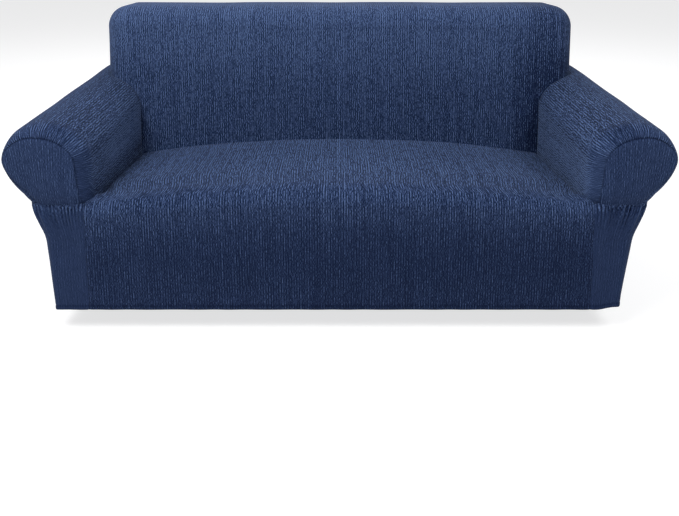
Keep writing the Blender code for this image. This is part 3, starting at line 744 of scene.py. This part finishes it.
def knit_material(name, yarns):
    """Ribbed heather knit: ribs, flecks of lighter and darker yarn, a slight unevenness of colour, and each
    point's tone with its painted light and shade.
    """
    material = bpy.data.materials.new(name)
    material.use_nodes = True
    tree = material.node_tree
    node = partial(add_node, tree)
    calc = partial(maths, tree)
    shader = tree.nodes["Principled BSDF"]
    shader.inputs["Roughness"].default_value = 0.9
    shader.inputs["Specular IOR Level"].default_value = 0.10
    shader.inputs["Sheen Weight"].default_value = 0.06
    shader.inputs["Sheen Roughness"].default_value = 0.45
    shader.inputs["Sheen Tint"].default_value = (0.6, 0.75, 1.0, 1.0)
    places = node("ShaderNodeUVMap", uv_map="Knit").outputs[0]
    wander = node("ShaderNodeTexNoise", (places, None, 26.0, 2.0))
    straight = node("ShaderNodeSeparateXYZ", (places,))
    u = calc("MULTIPLY_ADD", wander.outputs[0], 0.0008, straight.outputs[0])
    v = straight.outputs[1]
    rib = calc("COSINE", calc("MULTIPLY", u, 2.0 * pi / RIB))
    fine_rib = calc("COSINE", calc("MULTIPLY", u, 4.0 * pi / RIB))
    centred = calc("ADD", u, RIB / 2)
    strength = calc("MULTIPLY_ADD", flecks(tree, centred, v, RIB, SLUB, 3.0), 0.22, 0.18)
    strength = calc("MULTIPLY_ADD", flecks(tree, centred, v, RIB, FINE_SLUB, 4.0), 0.52, strength)
    streaks = flecks(tree, u, v, RIB / 2, STREAK, 1.0)
    short_flecks = flecks(tree, u, v, RIB / 2, FINE_SLUB, 8.0)
    grain = node("ShaderNodeTexNoise", (places, None, 560.0, 1.0, 0.6)).outputs[0]
    patches = node("ShaderNodeTexNoise", (places, None, 7.0, 3.0, 0.6)).outputs[0]
    shade = calc("MULTIPLY", rib, strength)
    shade = calc("MULTIPLY_ADD", streaks, 0.09, shade)
    shade = calc("MULTIPLY_ADD", short_flecks, 0.20, shade)
    shade = calc("MULTIPLY_ADD", calc("SUBTRACT", grain, 0.5), 1.3, shade)
    contrast = node("ShaderNodeAttribute", attribute_name="Contrast").outputs["Fac"]
    # the yarn's tone at each point, with the painted light and shade of the panels
    dye_and_painted_shading = node("ShaderNodeAttribute", attribute_name="DyeAndPaintedShading").outputs["Fac"]
    shade = calc("MULTIPLY_ADD", shade, contrast, dye_and_painted_shading)
    shade = calc("MULTIPLY_ADD", calc("SUBTRACT", patches, 0.5), 0.12, shade)
    ramp = node("ShaderNodeValToRGB", (shade,))
    stops = ramp.color_ramp.elements
    for number, colour in enumerate(yarns):
        place = number / (len(yarns) - 1)
        stop = stops[0] if number == 0 else stops[-1] if place == 1.0 else stops.new(place)
        stop.color = (*colour, 1.0)
    tree.links.new(ramp.outputs[0], shader.inputs["Base Color"])
    relief = calc("MULTIPLY_ADD", short_flecks, 0.35, fine_rib)
    relief = calc("MULTIPLY_ADD", grain, 1.5, relief)
    bump = node("ShaderNodeBump", (0.45, 0.0006))
    tree.links.new(relief, bump.inputs["Height"])
    tree.links.new(bump.outputs[0], shader.inputs["Normal"])
    return material


# ---------------------------------------------------------------- the nine panels

SEAT_EDGE = 0.37  # length of cloth from the hem to where the flecks begin to lengthen
SEAT_EDGE_BLEND = 0.07
SEAT_STRETCH = 0.36  # the flecks lie longer on the seat, where the knit is pulled towards the back
SEAT_STEPS = np.linspace(0.0, 1.1, 1101)  # lengths of cloth at which that is worked out
FRONT_LENGTH = 0.33  # length of cloth from the hem to about where the front turns over
SEAT_SIDES_PAINTED_SHADE = 0.20  # painted shade: the seat is darker towards its sides
BESIDE_ARM_PAINTED_LIGHT = 0.15  # painted light: but the seat is lighter close to the arms, towards the front
ACROSS_PAINTED_SHADE = 0.05  # painted shade: the front and back are darker on the right, turned from the light
CAP_FAN = 1.6  # how fast the cap's ribs spread upwards
SLEEVE_STRETCH = 0.42  # the flecks lie longer on the arms too
SEAM_SHADE = 0.30  # how much painted shade darkens the cap's seam over its top
SEAM_LINE = 0.0020  # half the width of that darker line
NARROW = 1.25  # the caps' ribs lie closer than the others
# Lengths of cloth between the whole numbers that place a panel's points, as listed over its shape
SEAT_ACROSS = (0.66, 0.044, 0.020)
SEAT_UP = (0.335, 0.086, 0.436, 0.044, 0.020)
SLEEVE_ROUND = (0.16, 0.48, 0.025)
SLEEVE_ALONG = (0.075, 0.53, 0.27, 0.047)
SKIRT_ROUND = (0.105, 0.050, 0.800, 0.047)

SEAT_TONES = (
    # length of cloth from the hem, contrast, tone with painted shade: the front darker than the seat's top,
    # which grows lighter towards the back
    (0.00, 0.76, 0.278),
    (0.25, 0.80, 0.312),
    (0.35, 1.10, 0.455),
    (0.43, 1.45, 0.425),
    (0.52, 1.90, 0.445),
    (0.70, 2.20, 0.490),
    (0.85, 2.30, 0.525),
)
SLEEVE_TONES = {
    # contrast, then tones with painted light and shade: at the foot of the inner face and where the roll
    # starts, both first at the back and then near the cap, beside the cap, and over the top
    "left": (1.6, 0.36, 0.92, 0.34, 0.60, 0.42, 0.33),
    "right": (2.4, 0.80, 0.84, 0.88, 0.82, 0.52, 0.27),
}
SEAT_CREASES = (
    # start u, start v, end u, end v, width, depth
    (0.760, 0.210, 0.754, 0.400, 0.007, 0.0060),
    (-0.764, 0.190, -0.760, 0.340, 0.006, 0.0025),
    (0.700, 0.330, 0.640, 0.520, 0.020, 0.0012),
    (-0.705, 0.330, -0.640, 0.500, 0.022, 0.0014),
    (0.420, 0.800, 0.450, 0.930, 0.014, 0.0016),
    (-0.180, 0.810, -0.160, 0.930, 0.016, 0.0014),
    (-0.520, 0.800, -0.560, 0.930, 0.014, 0.0016),
    (0.120, 0.820, 0.100, 0.930, 0.012, 0.0012),
)
BACK_CREASES = (
    (-0.700, 0.330, -0.560, 0.450, 0.018, 0.0020),
    (0.700, 0.330, 0.570, 0.440, 0.018, 0.0018),
    (-0.760, 0.560, -0.640, 0.600, 0.020, 0.0012),
    (0.770, 0.540, 0.640, 0.570, 0.020, 0.0012),
    (-0.250, 0.330, -0.230, 0.430, 0.014, 0.0012),
    (0.330, 0.330, 0.350, 0.420, 0.014, 0.0012),
)
SKIRT_CREASES = (
    (0.030, 0.240, 0.036, 0.130, 0.010, 0.0016),
    (0.078, 0.250, 0.074, 0.150, 0.009, 0.0018),
    (0.200, 0.330, 0.240, 0.170, 0.018, 0.0016),
    (0.420, 0.330, 0.430, 0.200, 0.022, 0.0014),
    (0.650, 0.330, 0.640, 0.180, 0.022, 0.0014),
)
SLEEVE_CREASES = (
    (0.130, 0.520, 0.230, 0.590, 0.016, 0.0018),
    (0.240, 0.500, 0.330, 0.570, 0.016, 0.0014),
    (0.060, 0.090, 0.170, 0.060, 0.014, 0.0010),
)
REAR_CREASES = (
    (-0.800, 0.560, -0.560, 0.470, 0.022, 0.0016),
    (0.800, 0.560, 0.560, 0.480, 0.022, 0.0016),
    (-0.300, 0.020, -0.290, 0.180, 0.018, 0.0012),
    (0.350, 0.020, 0.340, 0.200, 0.018, 0.0012),
)


def seat_panel(material):
    half = stages(SEAT_ACROSS, sewn=(False, True), pitches=(PITCH, 0.005, 0.005))
    across = np.concatenate((-half[:0:-1], half))
    up = stages(SEAT_UP, sewn=(True, False), pitches=(PITCH, 0.005, PITCH, 0.006, 0.007))
    points = grid_points(seat_place, across, up)
    middle = points.shape[1] // 2
    u, v = grid_uv(points, int(np.searchsorted(up, 2.3)), middle)
    u = u - u[:, middle : middle + 1]
    from_side = np.where(v < 0.40, np.abs(front_seam_x(points[..., 2])) - np.abs(points[..., 0]), 1.0)
    lift = lumps(u, v, 0.0014, 0.0) * smooth(v / 0.05)
    lift += seam(np.maximum(from_side, 0.0), v) * (1.0 - smooth((v - FRONT_LENGTH) / 0.05))
    lift += hem(v, u) + creases(u, v, SEAT_CREASES)
    # painted light and shade: the front darker than the seat's top, the seat darker towards its sides but
    # lighter beside the arms, and the front darker on the right
    painted_light_beside_arm = BESIDE_ARM_PAINTED_LIGHT * smooth((np.abs(u) - 0.62) / 0.08) * smooth((0.62 - v) / 0.20)
    dye_and_painted_shading = curve_through(SEAT_TONES, v, 2) - SEAT_SIDES_PAINTED_SHADE * u**2 * smooth((v - FRONT_LENGTH) / 0.10)
    dye_and_painted_shading += painted_light_beside_arm * smooth((v - FRONT_LENGTH) / 0.06)
    dye_and_painted_shading -= ACROSS_PAINTED_SHADE * u * (1.0 - smooth((v - 0.30) / 0.10))
    rate = blend(1.0, SEAT_STRETCH, smooth((SEAT_STEPS - SEAT_EDGE) / SEAT_EDGE_BLEND))
    grain = np.interp(v, SEAT_STEPS, np.cumsum(rate) * SEAT_STEPS[1])
    return add_grid_panel(
        "seat_front", points, (u, grain), lift, curve_through(SEAT_TONES, v, 1), dye_and_painted_shading - hem_painted_shade(v),
        inside=(0.0, 0.35, 0.10), material=material, flat=(1.58, 0.96), area=1.46,
        rests_on=["arm_sleeve_left_knit", "arm_sleeve_right_knit"],
    )


def back_panel(material):
    sides = np.unique(np.concatenate([np.linspace(*stretch) for stretch in RING_STEPS]))
    beyond = np.linspace(SEAM_X + SEAM_STEP, BACK_FLAT_X, 7)
    flat_x = np.concatenate((np.linspace(0.0, SEAM_X, 98), beyond))
    ups = np.linspace(0.0, 1.0, 60)
    half_x = np.concatenate((flat_x, np.full(len(sides) - 1, BACK_FLAT_X)))
    half_ring = np.concatenate((np.full(len(flat_x), float(RINGS)), sides[::-1][1:]))
    x = np.concatenate((half_x[:0:-1], half_x))
    from_side = np.concatenate((half_ring[:0:-1], half_ring))
    hand = np.concatenate((-np.ones(len(half_x) - 1), np.ones(len(half_x))))
    up = np.concatenate((ups, np.ones(len(sides) - 1)))
    from_top = np.concatenate((np.full(len(ups), float(RINGS)), sides[::-1][1:]))
    x, up = np.meshgrid(x, up)
    from_side, from_top = np.meshgrid(from_side, from_top)
    hand = np.broadcast_to(hand, x.shape)
    points = np.stack(back_place(from_side, from_top, x, up, hand), axis=-1)
    number = np.minimum(np.minimum(from_side, from_top), RINGS)
    wrapped = back_wrap(number)
    centre_x = np.minimum(np.abs(points[..., 0]), BACK_FLAT_X)
    centre_z = np.minimum(points[..., 2], BACK_FLAT_Z)
    off_x = np.abs(points[..., 0]) - centre_x
    off_z = points[..., 2] - centre_z
    off = np.maximum(np.hypot(off_x, off_z), 1e-9)
    u = hand * (centre_x + wrapped * off_x / off)
    v = centre_z + wrapped * off_z / off
    rear = back_wrap(np.zeros(1)) - wrapped
    lift = lumps(u, v, 0.0016, 1.7) + creases(u, v, BACK_CREASES)
    lift += seam(rear, u + v)
    # painted light and shade: the back is lighter towards its top, lit from above, and darker on the right
    dye_and_painted_shading = PLAIN_DYE - 0.07 + 0.17 * smooth((v - 0.50) / 0.32) - ACROSS_PAINTED_SHADE * u
    # painted shade at the back's right end, where it turns from the light, deeper lower down
    dye_and_painted_shading -= (0.17 + 0.14 * smooth((0.74 - v) / 0.14)) * smooth((u - 0.60) / 0.14)
    return add_grid_panel(
        "inside_back", points, (u, v), lift, 1.3, dye_and_painted_shading,
        inside=(0.0, 0.80, 0.50), material=material, flat=(2.1, 0.80), area=1.36,
        rests_on=["arm_sleeve_left_knit", "arm_sleeve_right_knit"],
    )


def sleeve_panel(side, hand, material):
    around = stages(SLEEVE_ROUND, sewn=(False, True), pitches=(0.010, 0.006, 0.004))
    around = np.unique(np.concatenate((around, [SEAM_ROUND])))
    along = stages(SLEEVE_ALONG, pitches=(0.005, PITCH, 0.009, 0.005))
    points = grid_points(sleeve_place, around, along)
    hidden = []
    for reach in ALLOWANCE[::-1]:
        seam_x, seam_z = cap_edge(around, reach)
        hidden.append(np.stack((seam_x, points[0, :, 1] + ALLOWANCE_DEPTH + reach / 4, seam_z), axis=-1))
    points = np.concatenate((np.array(hidden), points))
    along = np.concatenate((-ALLOWANCE[::-1], along))
    rows, columns = points.shape[:2]
    seam_column = int(np.searchsorted(around, SEAM_ROUND))
    back_row = int(np.searchsorted(along, 2.0))
    keep = np.ones((rows - 1, columns - 1), bool)
    keep[back_row:, :seam_column] = False
    reference = int(np.searchsorted(around, 1.4))
    u = np.broadcast_to(lengths_along(points, 1)[int(np.searchsorted(along, 1.3))], (rows, columns))
    v = lengths_along(points, 0)
    front_run = v[:, reference : reference + 1]
    v = np.where(along[:, None] <= 2.0, front_run, front_run[back_row] + (v - v[back_row]))
    v = v - v[len(ALLOWANCE)]
    total = v[-1]
    lift = lumps(u, v, 0.0013, 3.1 + hand) + creases(u, v, SLEEVE_CREASES)
    lift += seam(np.abs(v), u) * smooth(u / 0.15)
    lift += np.where(around > SEAM_ROUND, seam(total - v, u), 0.0)
    lift = np.where(along[:, None] < 0.0, 0.0, lift)
    points = points * np.array((hand, 1.0, 1.0))
    face_contrast, foot_dye_and_shading, face_dye_and_shading, front_foot_dye_and_shading, front_face_dye_and_shading, cap_dye_and_shading, top_dye_and_shading = SLEEVE_TONES[side]
    past_top = smooth((u - 0.34) / 0.12)
    contrast = blend(face_contrast, 0.9, past_top)
    contrast = blend(blend(0.5, 0.9, top_arc(around)), contrast, smooth((v - 0.01) / 0.11))
    # painted light and shade from the table above, over each arm's foot, face, top and the parts near the
    # cap
    to_front = smooth((0.32 - v) / 0.20)
    foot_dye_and_shading = blend(foot_dye_and_shading, front_foot_dye_and_shading, to_front)
    face_dye_and_shading = blend(face_dye_and_shading, front_face_dye_and_shading, to_front)
    dye_and_painted_shading = blend(blend(foot_dye_and_shading, face_dye_and_shading, smooth((u - 0.055) / 0.11)), top_dye_and_shading, smooth((u - 0.14) / 0.18))
    dye_and_painted_shading = blend(dye_and_painted_shading, PLAIN_DYE - 0.10, past_top)
    # painted light where the sleeve turns over the cap's top, painted shade along its seam, and the table's
    # painted tone beside the cap
    turned = top_arc(around) * (1.0 - smooth((v - 0.02) / 0.06))
    dye_and_painted_shading = dye_and_painted_shading + 0.10 * turned - SEAM_SHADE * top_arc(around) * np.exp(-((v / 0.0018) ** 2))
    dye_and_painted_shading = blend(cap_dye_and_shading, dye_and_painted_shading, np.maximum(smooth((v - 0.01) / 0.06), top_arc(around)))
    return add_grid_panel(
        "arm_sleeve_" + side, points, (u, v * SLEEVE_STRETCH), lift, contrast, dye_and_painted_shading, keep,
        inside=(hand * ROLL_X, 0.45, ROLL_Z), material=material, flat=(0.66, 0.92), area=0.55,
        rests_on=["seat_front_knit"],
    )


def cap_panel(side, hand, material):
    across = stages((0.20,), pitches=(0.005,))
    up = stages((0.21,), pitches=(0.005,))
    points = grid_points(cap_place, across, up)
    rows, columns = points.shape[:2]
    u, v = grid_uv(points, rows // 2, columns // 2)
    u = u - u[:, columns // 2 : columns // 2 + 1]
    run = lengths_along(points, 1)
    rise = lengths_along(points, 0)
    sides = np.minimum(run, run[:, -1:] - run)
    from_top = rise[-1:] - rise
    lift = (lumps(u, v, 0.0008, 5.0 * hand) + seam(sides, rise)) * smooth(rise / 0.01)
    lift += seam(from_top, run)
    inner_line = np.exp(-((run / SEAM_LINE) ** 2)) * smooth((rise - 0.13) / 0.06)
    line = np.exp(-((from_top / SEAM_LINE) ** 2)) + inner_line
    # painted shade along the cap's seam line, and the right cap painted darker than the left
    dye_and_painted_shading = PLAIN_DYE - 0.03 - 0.02 * hand - SEAM_SHADE * np.minimum(line, 1.0)
    # painted highlight along the cap's lower edge
    dye_and_painted_shading += 0.12 * (1.0 - smooth(rise / 0.005))
    height = points[..., 2] - TUCK_Z
    fanned = NARROW * (points[..., 0] - ROLL_X) / (1.0 + CAP_FAN * height)
    return add_grid_panel(
        "arm_cap_" + side, points * np.array((hand, 1.0, 1.0)), (fanned, height), lift, 0.55, dye_and_painted_shading,
        inside=(hand * ROLL_X, 0.30, ROLL_Z), material=material, flat=(0.21, 0.23), area=0.034,
        rests_on=["arm_sleeve_" + side + "_knit", "arm_skirt_" + side + "_knit"],
    )


def skirt_panel(side, hand, material):
    around = stages(SKIRT_ROUND, pitches=(FINE_PITCH, 0.0030, 0.0090, 0.0060))
    heights = stages((TUCK_Z - EDGE_GAP,), pitches=(0.0065,)) * (TUCK_Z - EDGE_GAP)
    around = np.concatenate((-ALLOWANCE[::-1] / SKIRT_ROUND[0], around))
    heights = np.concatenate((heights, TUCK_Z + ALLOWANCE))
    points = grid_points(partial(skirt_place, side), around, heights)
    rows, columns = points.shape[:2]
    hidden = np.maximum(np.clip(heights[:, None] - TUCK_Z, 0.0, None), -around * SKIRT_ROUND[0])
    u = lengths_along(points, 1)[rows // 2]
    u = np.broadcast_to(u - u[len(ALLOWANCE)], (rows, columns))
    v = np.broadcast_to(heights[:, None], (rows, columns))
    from_rear = u[:, -1:] - u
    lift = lumps(u, v, 0.0010, 2.0 * hand) * smooth(v / 0.05) + creases(u, v, SKIRT_CREASES)
    lift += seam(np.abs(u), v) + seam(from_rear, v) + hem(v, u)
    lift = np.where(hidden > 0.0, -ALLOWANCE_DEPTH, lift)
    from_tuck = TUCK_Z - v
    corner = 1.0 - 0.8 * smooth((around - 0.6) / 0.4)
    lift += BEAD * np.sin(pi * np.clip(from_tuck / BEAD_WIDTH, 0.0, 1.0)) * smooth(u / 0.01) * corner
    pleats = gathers(np.broadcast_to(around, (rows, columns)), v) / GATHER_DEPTH
    # painted shade in the gathers' troughs and painted light on their crests, the right skirt painted
    # darker, and the hem's painted shade
    dye_and_painted_shading = PLAIN_DYE - 0.09 - 0.02 * hand + 0.10 * pleats - hem_painted_shade(v)
    # painted highlight on the gathered bead and just under its seam
    painted_highlight_beside_bead = 0.05 * (1.0 - smooth((from_tuck - BEAD_WIDTH) / 0.004))
    dye_and_painted_shading += painted_highlight_beside_bead + 0.10 * (1.0 - smooth(from_tuck / 0.004))
    contrast = blend(0.9, 0.3, smooth((from_tuck - 0.004) / 0.030)) + 0.5 * smooth(around - 1.3)
    return add_grid_panel(
        "arm_skirt_" + side, points * np.array((hand, 1.0, 1.0)), (u, v), lift, contrast, dye_and_painted_shading,
        inside=(hand * 0.80, 0.45, 0.20), material=material, flat=(1.02, 0.34), area=0.345,
        held="gathered",
        rests_on=["arm_sleeve_" + side + "_knit"],
    )


REAR_GRID_X = (-0.96, 0.97)
REAR_GRID_Z = (0.006, 0.85)
REAR_PITCH = 0.010
REAR_CLEAR = 0.006  # least distance of an inner point from the outline


def rear_panel(material):
    right = rear_outline("right", 1.0)
    left = rear_outline("left", -1.0)
    edge = np.concatenate((right, left[::-1]))
    grid_x, grid_z = np.meshgrid(np.arange(*REAR_GRID_X, REAR_PITCH), np.arange(*REAR_GRID_Z, REAR_PITCH))
    inner = np.stack((grid_x.ravel(), grid_z.ravel()), axis=1)
    starts = edge
    ends = np.roll(edge, -1, axis=0)
    way = ends - starts
    span = np.sum(way**2, axis=1)

    def from_edge(places):
        share = np.clip(np.sum((places[:, None] - starts) * way, axis=2) / span, 0.0, 1.0)
        gap = places[:, None] - starts - share[..., None] * way
        return np.sqrt(np.min(np.sum(gap**2, axis=2), axis=1))

    inner = inner[from_edge(inner) > REAR_CLEAR]
    outline = [Vector(place) for place in edge.tolist()]
    outer_count = len(outline)
    corners = outline + [Vector(place) for place in inner.tolist()]
    lines = [(k, (k + 1) % outer_count) for k in range(outer_count)]
    flat, _, faces, _, _, _ = delaunay_2d_cdt(corners, lines, [], 1, 1e-6)
    flat = np.array([tuple(place) for place in flat])
    faces = np.array([face for face in faces if len(face) == 3])
    u, v = flat[:, 0], flat[:, 1]
    distance = from_edge(flat)
    lift = lumps(u, v, 0.0022, 0.6) * smooth(distance / 0.06) + creases(u, v, REAR_CREASES)
    lift += np.where(v > 0.02, seam(distance, u + v), 0.0) + hem(v, u)
    points = np.stack((u, np.full(len(u), REAR_Y), v), axis=1)
    return add_panel(
        "outside_back", points, faces, flat, lift, 1.0, PLAIN_DYE,
        inside=(0.0, 0.70, 0.40), material=material, flat=(1.90, 0.82), area=1.42,
        rests_on=["inside_back_knit"],
    )


# ---------------------------------------------------------------- floor, light and camera

FLOOR_BELOW = 0.0655  # the hem hangs this far over the floor
FLOOR_GLOW = 0.72  # the pale floor is lit from below, as a studio's light table is
FLOOR_REACH = 30.0
WALL_REACH = 28.0
WALL_HEIGHT = 14.0
WALL_SIDES = 64
WALL_GLOW = 0.80
PHOTO_WIDTH = 679.0  # pixels
PHOTO_HEIGHT = 516.0
FOCAL_PIXELS = 707.0
AXIS_ROW = 150.0  # row of the photo that the camera's axis meets
AXIS_SHIFT = -0.2  # pixels across
EYE = (0.0, -1.938, 1.0925)  # in the frame of the cover's points
PITCH_DOWN = 16.7
SENSOR = 36.0
LIGHTS = (
    # name, place, target, size, power, colour
    ("softbox_left", (-1.5, -1.7, 2.4), (0.0, -0.1, -0.4), (2.2, 1.6), 104.0, (1.0, 0.99, 0.98)),
    ("softbox_right", (1.9, -1.5, 1.9), (0.0, -0.1, -0.4), (2.0, 1.6), 44.0, (1.0, 0.99, 0.98)),
    ("softbox_rear", (0.0, 2.8, 2.4), (0.0, 2.8, -0.9), (8.0, 3.0), 150.0, (1.0, 1.0, 1.0)),
)


def glowing_material(name, colour, roughness, specular, glow):
    material = bpy.data.materials.new(name)
    material.use_nodes = True
    inputs = material.node_tree.nodes["Principled BSDF"].inputs
    inputs["Base Color"].default_value = (*colour, 1.0)
    inputs["Roughness"].default_value = roughness
    inputs["Specular IOR Level"].default_value = specular
    inputs["Emission Color"].default_value = (1.0, 1.0, 1.0, 1.0)
    inputs["Emission Strength"].default_value = glow
    return material


def add_shape(name, points, faces, material):
    mesh = bpy.data.meshes.new(name)
    mesh.from_pydata(points, [], faces)
    mesh.materials.append(material)
    return add_object(name, mesh)


def add_floor():
    low = ORIGIN[2] - FLOOR_BELOW
    corners = [(x * FLOOR_REACH, y * FLOOR_REACH, low) for x, y in ((-1, -1), (1, -1), (1, 1), (-1, 1))]
    pale = glowing_material("pale_floor", (0.36, 0.36, 0.365), 0.6, 0.5, FLOOR_GLOW)
    floor = add_shape("floor", corners, [(0, 1, 2, 3)], pale)


def add_backdrop():
    """A pale wall inside the floor's edge, which lights nothing."""
    low = ORIGIN[2] - FLOOR_BELOW
    turns = np.linspace(0.0, 2.0 * pi, WALL_SIDES, endpoint=False)
    feet = [(WALL_REACH * cos(turn), WALL_REACH * sin(turn), low) for turn in turns]
    tops = [(x, y, low + WALL_HEIGHT) for x, y, _ in feet]
    pairs = [(k, (k + 1) % WALL_SIDES) for k in range(WALL_SIDES)]
    faces = [(first, second, WALL_SIDES + second, WALL_SIDES + first) for first, second in pairs]
    pale = glowing_material("pale_backdrop", (0.0, 0.0, 0.0), 1.0, 0.0, WALL_GLOW)
    backdrop = add_shape("backdrop", feet + tops, faces, pale)
    backdrop.visible_diffuse = False
    backdrop.visible_glossy = False
    backdrop.visible_shadow = False


def add_light(name, place, target, size, power, colour):
    data = bpy.data.lights.new(name, "AREA")
    data.shape = "RECTANGLE"
    data.size, data.size_y = size
    data.energy = power
    data.color = colour
    light = add_object(name, data)
    light.location = place
    light.visible_camera = False
    light.rotation_euler = (Vector(target) - Vector(place)).to_track_quat("-Z", "Y").to_euler()


def add_camera():
    data = bpy.data.cameras.new("camera")
    data.sensor_width = SENSOR
    data.lens = SENSOR * (FOCAL_PIXELS / PHOTO_WIDTH)
    data.shift_y = (AXIS_ROW - PHOTO_HEIGHT / 2) / PHOTO_WIDTH
    data.shift_x = AXIS_SHIFT / PHOTO_WIDTH
    camera = add_object("camera", data)
    camera.location = np.array(EYE) + ORIGIN
    camera.rotation_euler = (radians(90.0 - PITCH_DOWN), 0.0, 0.0)
    bpy.context.scene.camera = camera


def add_world(colour, strength):
    world = bpy.data.worlds.new("studio")
    world.use_nodes = True
    background = world.node_tree.nodes["Background"]
    background.inputs["Color"].default_value = (*colour, 1.0)
    background.inputs["Strength"].default_value = strength
    bpy.context.scene.world = world


# ---------------------------------------------------------------- the scene

knit = knit_material("navy_ribbed_knit", NAVY_YARNS)
seat_panel(knit)
back_panel(knit)
rear_panel(knit)
for arm, sign in (("left", -1.0), ("right", 1.0)):
    sleeve_panel(arm, sign, knit)
    cap_panel(arm, sign, knit)
    skirt_panel(arm, sign, knit)

add_floor()
add_backdrop()
for light in LIGHTS:
    add_light(*light)
add_world((0.93, 0.95, 1.0), 0.22)
add_camera()
bpy.context.scene.view_settings.view_transform = "Standard"
